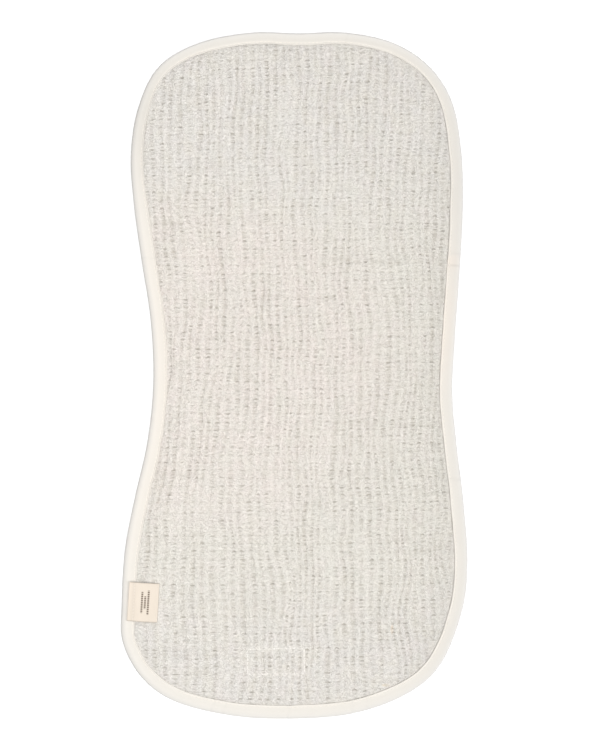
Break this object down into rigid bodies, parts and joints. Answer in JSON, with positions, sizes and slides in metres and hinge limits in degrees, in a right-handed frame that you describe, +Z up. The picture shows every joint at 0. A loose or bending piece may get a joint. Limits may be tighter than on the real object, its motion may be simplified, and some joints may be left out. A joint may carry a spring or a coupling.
{
  "type": "burp cloth",
  "caption": "Flat contoured burp cloth of crinkled cotton muslin, narrower at the neck, with a folded tape binding all round and a small folded care label.",
  "frame": {"origin": "centre of the bounding box's underside, on the surface the cloth lies on", "axes": "+X across the cloth, +Y along its length towards the head end, +Z up, out of the face that shows"},
  "size_m": [0.263, 0.52, 0.0051],
  "materials": {
    "muslin": "crinkled cotton muslin, undyed cream",
    "binding": "plain cotton tape, pressed, pale cream",
    "label": "soft cotton label tape, warm cream"
  },
  "bodies": {
    "root": {"muslin_pad": "muslin", "edge_binding": "binding", "care_label": "label"}
  },
  "joints": []
}
